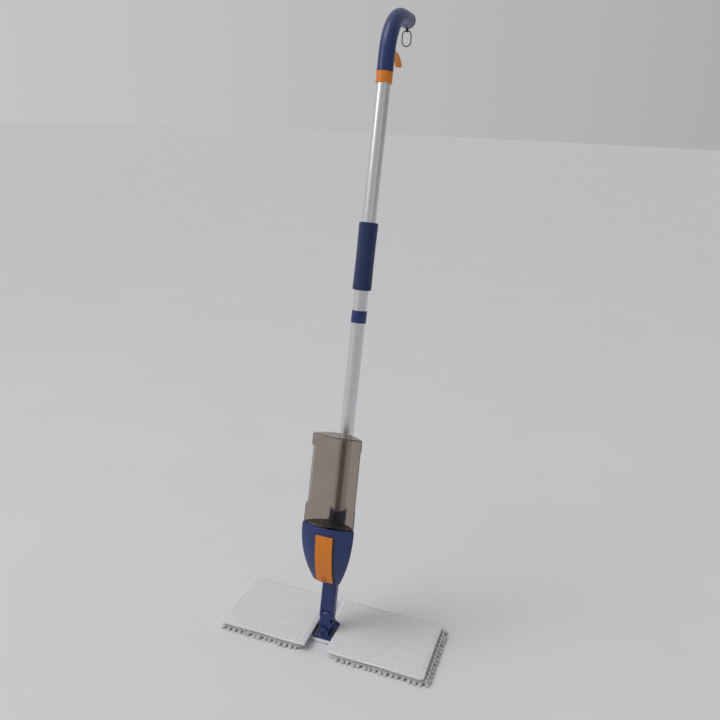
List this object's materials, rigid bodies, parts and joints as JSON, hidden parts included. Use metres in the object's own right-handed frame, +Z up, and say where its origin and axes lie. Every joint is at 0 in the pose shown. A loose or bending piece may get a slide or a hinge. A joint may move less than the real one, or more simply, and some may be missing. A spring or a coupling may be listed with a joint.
{
  "type": "flat spray mop",
  "caption": "Flat spray mop: cane handle with trigger, two-piece tube, clip-on tank over a pump housing, and a folding head in a pocketed microfibre pad.",
  "frame": {"origin": "centre of the mop's foot on the floor, under the head's joint", "axes": "+Z up; +X along the head to the right; +Y to the back, the way the pole leans; the nozzle faces -Y"},
  "size_m": [0.424, 0.3934, 1.1501],
  "materials": {
    "blue_plastic": "satin moulded plastic",
    "orange_plastic": "satin moulded plastic",
    "aluminium_tube": "satin drawn tube",
    "foam": "closed-cell foam, matte",
    "black_plastic": "matte moulded plastic",
    "steel": "plain",
    "rod_plastic": "plain moulded rod",
    "clear_tank": "smoke-tinted clear plastic",
    "rubber": "soft rubber",
    "microfibre": "knitted microfibre with chenille pile"
  },
  "bodies": {
    "pole": {"handle_shell_left": "blue_plastic", "handle_shell_right": "blue_plastic", "handle_end_cap": "black_plastic", "handle_collar": "orange_plastic", "handle_screws": "steel", "trigger_pin": "steel", "trigger_spring": "steel", "upper_tube": "aluminium_tube", "lower_tube": "aluminium_tube", "tube_sleeve": "black_plastic", "tube_connector": "blue_plastic", "foam_grip": "foam", "housing_front": "blue_plastic", "housing_rear": "blue_plastic", "housing_screws": "steel", "nozzle_panel": "orange_plastic", "nozzle": "orange_plastic", "pump_body": "black_plastic", "pump_spring": "steel", "inlet_hose": "rubber", "outlet_hose": "rubber", "tank_dock": "blue_plastic", "neck": "blue_plastic", "tilt_pin": "black_plastic"},
    "trigger": {"trigger": "orange_plastic"},
    "rod": {"push_rod_lower": "rod_plastic", "push_rod_upper": "rod_plastic", "rod_coupler": "black_plastic", "rod_button": "black_plastic", "pump_piston": "black_plastic"},
    "tank": {"tank": "clear_tank", "tank_cap": "black_plastic", "tank_seal": "rubber", "valve_stem": "black_plastic"},
    "loop": {"hanging_loop": "black_plastic"},
    "link": {"joint_link": "blue_plastic"},
    "head": {"base_plate": "blue_plastic", "roll_pin": "black_plastic", "wing_pins": "steel", "pad_strip": "microfibre", "latch_spring": "steel"},
    "latch": {"release_latch": "blue_plastic"},
    "left_half": {"left_wing": "blue_plastic", "pad_left": "microfibre"},
    "right_half": {"right_wing": "blue_plastic", "pad_right": "microfibre"}
  },
  "joints": [
    {"name": "trigger_squeeze", "type": "hinge", "parent": "pole", "child": "trigger", "pos_m": [0, 0.21822, 1.08422], "axis": [1, 0, 0], "range_deg": [0, 20], "stiffness_Nm_per_rad": 0.15, "springref_deg": -20.05},
    {"name": "rod_travel", "type": "slide", "parent": "pole", "child": "rod", "axis": [0, 0.2011, 0.9796], "range_m": [-0.0038, 0], "deforming": ["pump_spring"]},
    {"name": "tank_lift", "type": "slide", "parent": "pole", "child": "tank", "axis": [0, 0.2011, 0.9796], "range_m": [0, 0.04]},
    {"name": "loop_swing", "type": "hinge", "parent": "pole", "child": "loop", "pos_m": [0, 0.32612, 1.11719], "axis": [1, 0, 0], "range_deg": [-60, 40]},
    {"name": "head_tilt", "type": "hinge", "parent": "pole", "child": "link", "pos_m": [0, 0, 0.051], "axis": [1, 0, 0], "range_deg": [-75, 60]},
    {"name": "head_roll", "type": "hinge", "parent": "link", "child": "head", "pos_m": [0, 0, 0.017], "axis": [0, 1, 0], "range_deg": [-30, 30]},
    {"name": "left_fold", "type": "hinge", "parent": "head", "child": "left_half", "pos_m": [-0.026, 0, 0.0095], "axis": [0, 1, 0], "range_deg": [-75, 0]},
    {"name": "right_fold", "type": "hinge", "parent": "head", "child": "right_half", "pos_m": [0.026, 0, 0.0095], "axis": [0, 1, 0], "range_deg": [0, 75]},
    {"name": "latch_press", "type": "slide", "parent": "head", "child": "latch", "axis": [0, 0, 1], "range_m": [-0.0025, 0], "stiffness_N_per_m": 400, "springref_m": 0.002, "deforming": ["latch_spring"]}
  ],
  "couplings": [
    {"joint": "trigger_squeeze", "follows": "rod_travel", "rad_per_m": -90.909}
  ]
}
